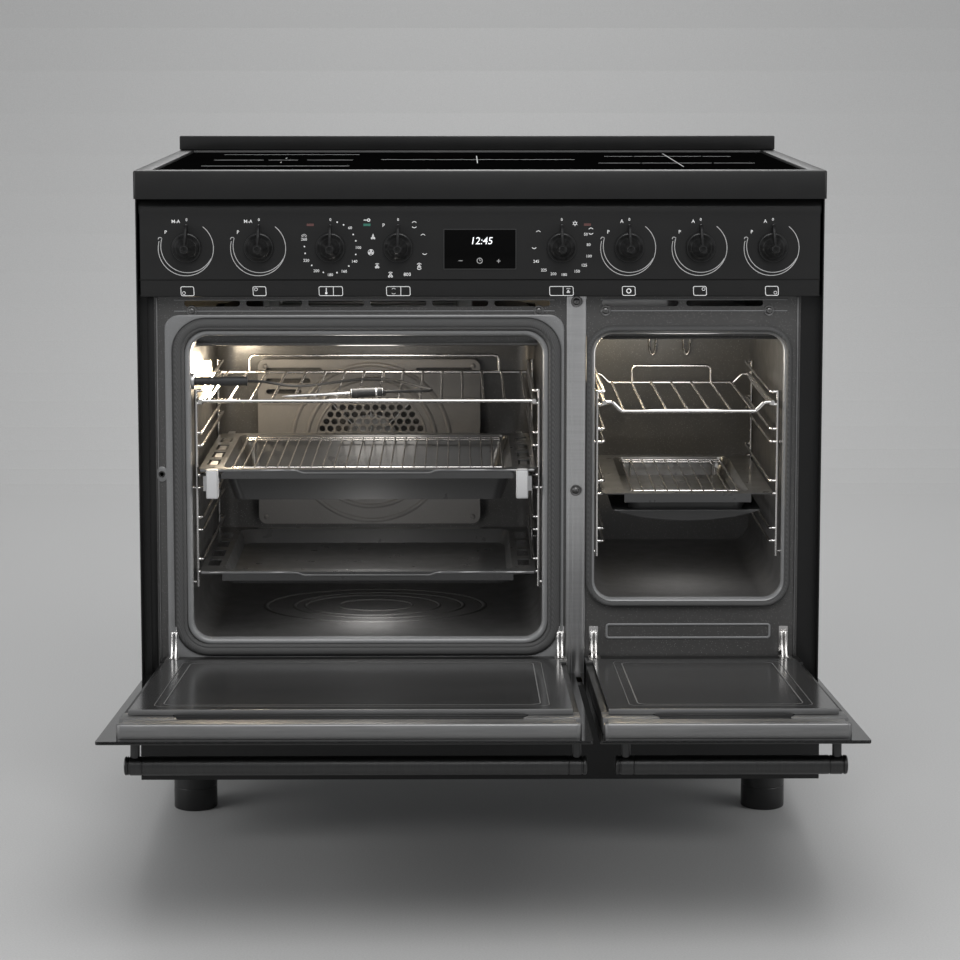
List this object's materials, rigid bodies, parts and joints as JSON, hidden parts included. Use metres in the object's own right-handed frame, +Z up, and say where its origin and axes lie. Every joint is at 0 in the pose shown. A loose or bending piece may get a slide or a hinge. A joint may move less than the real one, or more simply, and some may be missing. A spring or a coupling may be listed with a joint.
{
  "type": "range cooker with double oven and induction hob",
  "caption": "Black freestanding range cooker with a glass induction hob, rotary controls, a display and two ovens side by side, doors folded down, shelves and trays inside.",
  "frame": {"origin": "floor level, midway between the two side panels and midway between the front and back of the cabinet", "axes": "+X to the right seen from the front, +Y towards the wall behind, +Z up"},
  "size_m": [0.898, 1.0706, 0.921],
  "materials": {
    "black_enamel": "gloss black stove enamel on sheet steel",
    "bare_zinc_sheet": "plain zinc-coated sheet",
    "bright_steel": "bright brushed stainless steel",
    "oven_enamel": "semi-gloss vitreous enamel with fine pale specks",
    "tray_enamel": "gloss vitreous enamel",
    "rack_chrome": "bright chromed wire",
    "hinge_chrome": "bright plated steel",
    "hob_ceramic": "polished opaque black glass ceramic",
    "front_glass": "near-black printed door glass",
    "inner_door_glass": "heat-reflecting inner door glass with a black printed border",
    "display_glass": "smoked glass",
    "seal_rubber": "matt braided and silicone seal",
    "element_sheath": "heat-darkened element sheath",
    "lamp_glass": "clear ribbed lamp cover lit from behind",
    "knob_black": "satin black moulding",
    "panel_black": "gloss black fascia",
    "handle_metal": "dark satin plated tube",
    "dark_plastic": "heat-resisting black moulding",
    "foot_plastic": "black levelling foot",
    "screw_zinc": "zinc-plated screw",
    "probe_sleeve": "heat-resisting dark grey sleeve",
    "probe_steel": "stainless needle with a dark grip",
    "fan_steel": "plain pressed fan wheel",
    "coil_unit": "induction coils on an aluminium carrier"
  },
  "bodies": {
    "cooker": {"side_panels": "black_enamel", "base_pan": "bare_zinc_sheet", "back_panel": "bare_zinc_sheet", "lower_front_panel": "black_enamel", "feet": "foot_plastic", "centre_pillar": "bright_steel", "hob_frame": "black_enamel", "hob_glass": "hob_ceramic", "upstand": "black_enamel", "induction_unit": "coil_unit", "main_cavity": "oven_enamel", "small_cavity": "oven_enamel", "door_seals": "seal_rubber", "fan_cover": "oven_enamel", "fan_motor": "bare_zinc_sheet", "main_oven_elements": "element_sheath", "small_oven_elements": "element_sheath", "oven_lamps": "lamp_glass", "main_side_racks": "rack_chrome", "small_side_racks": "rack_chrome", "runner_rails": "bright_steel", "hinge_arms": "hinge_chrome", "control_panel": "panel_black", "display": "display_glass", "knob_encoders": "dark_plastic", "frame_screws": "screw_zinc", "cooling_fan_housing": "bare_zinc_sheet", "mains_terminal": "dark_plastic", "probe_socket": "bright_steel", "probe_plug": "dark_plastic", "probe_cord": "probe_sleeve"},
    "main_door": {"main_door_outer_glass": "front_glass", "main_door_frame": "black_enamel", "main_door_inner_glass": "inner_door_glass", "main_door_handle": "handle_metal", "main_door_hinge_bodies": "hinge_chrome"},
    "small_door": {"small_door_outer_glass": "front_glass", "small_door_frame": "black_enamel", "small_door_inner_glass": "inner_door_glass", "small_door_handle": "handle_metal", "small_door_hinge_bodies": "hinge_chrome"},
    "oven_fan": {"fan_blade": "fan_steel"},
    "cooling_rotor": {"cooling_fan_rotor": "fan_steel"},
    "left_front_zone_control": {"left_front_zone_knob": "knob_black"},
    "left_back_zone_control": {"left_back_zone_knob": "knob_black"},
    "main_temperature_control": {"main_temperature_knob": "knob_black"},
    "main_function_control": {"main_function_knob": "knob_black"},
    "small_oven_control": {"small_oven_knob": "knob_black"},
    "centre_zone_control": {"centre_zone_knob": "knob_black"},
    "right_back_zone_control": {"right_back_zone_knob": "knob_black"},
    "right_front_zone_control": {"right_front_zone_knob": "knob_black"},
    "main_shelf": {"main_wire_rack": "rack_chrome", "temperature_probe": "probe_steel"},
    "deep_tray_set": {"deep_tray": "tray_enamel", "deep_tray_grid": "rack_chrome", "runner_slides": "bright_steel"},
    "low_tray_set": {"low_tray": "tray_enamel"},
    "small_shelf": {"small_wire_rack": "rack_chrome"},
    "small_tray_set": {"small_tray": "tray_enamel", "small_tray_grid": "rack_chrome"}
  },
  "joints": [
    {"name": "main_door_hinge", "type": "hinge", "parent": "cooker", "child": "main_door", "pos_m": [0, -0.283, 0.243], "axis": [-1, 0, 0], "range_deg": [0, 85]},
    {"name": "small_door_hinge", "type": "hinge", "parent": "cooker", "child": "small_door", "pos_m": [0, -0.283, 0.243], "axis": [-1, 0, 0], "range_deg": [0, 85]},
    {"name": "oven_fan_spin", "type": "hinge", "parent": "cooker", "child": "oven_fan", "pos_m": [-0.157, 0.146, 0.477], "axis": [0, 1, 0], "continuous": true},
    {"name": "cooling_rotor_spin", "type": "hinge", "parent": "cooker", "child": "cooling_rotor", "pos_m": [-0.15, -0.15, 0.7296], "axis": [1, 0, 0], "continuous": true},
    {"name": "left_front_zone_turn", "type": "hinge", "parent": "cooker", "child": "left_front_zone_control", "pos_m": [-0.382, -0.3, 0.799], "axis": [0, 1, 0], "range_deg": [0, 335]},
    {"name": "left_back_zone_turn", "type": "hinge", "parent": "cooker", "child": "left_back_zone_control", "pos_m": [-0.288, -0.3, 0.799], "axis": [0, 1, 0], "range_deg": [0, 335]},
    {"name": "main_temperature_turn", "type": "hinge", "parent": "cooker", "child": "main_temperature_control", "pos_m": [-0.195, -0.3, 0.799], "axis": [0, 1, 0], "range_deg": [0, 300]},
    {"name": "main_function_turn", "type": "hinge", "parent": "cooker", "child": "main_function_control", "pos_m": [-0.107, -0.3, 0.799], "axis": [0, 1, 0], "continuous": true},
    {"name": "small_oven_turn", "type": "hinge", "parent": "cooker", "child": "small_oven_control", "pos_m": [0.106, -0.3, 0.799], "axis": [0, 1, 0], "range_deg": [0, 325]},
    {"name": "centre_zone_turn", "type": "hinge", "parent": "cooker", "child": "centre_zone_control", "pos_m": [0.194, -0.3, 0.799], "axis": [0, 1, 0], "range_deg": [0, 335]},
    {"name": "right_back_zone_turn", "type": "hinge", "parent": "cooker", "child": "right_back_zone_control", "pos_m": [0.287, -0.3, 0.799], "axis": [0, 1, 0], "range_deg": [0, 335]},
    {"name": "right_front_zone_turn", "type": "hinge", "parent": "cooker", "child": "right_front_zone_control", "pos_m": [0.381, -0.3, 0.799], "axis": [0, 1, 0], "range_deg": [0, 335]},
    {"name": "main_shelf_slide", "type": "slide", "parent": "cooker", "child": "main_shelf", "axis": [0, 1, 0], "range_m": [-0.275, 0], "deforming": ["probe_cord"]},
    {"name": "deep_tray_slide", "type": "slide", "parent": "cooker", "child": "deep_tray_set", "axis": [0, 1, 0], "range_m": [-0.28, 0]},
    {"name": "low_tray_slide", "type": "slide", "parent": "cooker", "child": "low_tray_set", "axis": [0, 1, 0], "range_m": [-0.28, 0]},
    {"name": "small_shelf_slide", "type": "slide", "parent": "cooker", "child": "small_shelf", "axis": [0, 1, 0], "range_m": [-0.27, 0]},
    {"name": "small_tray_slide", "type": "slide", "parent": "cooker", "child": "small_tray_set", "axis": [0, 1, 0], "range_m": [-0.27, 0]}
  ]
}
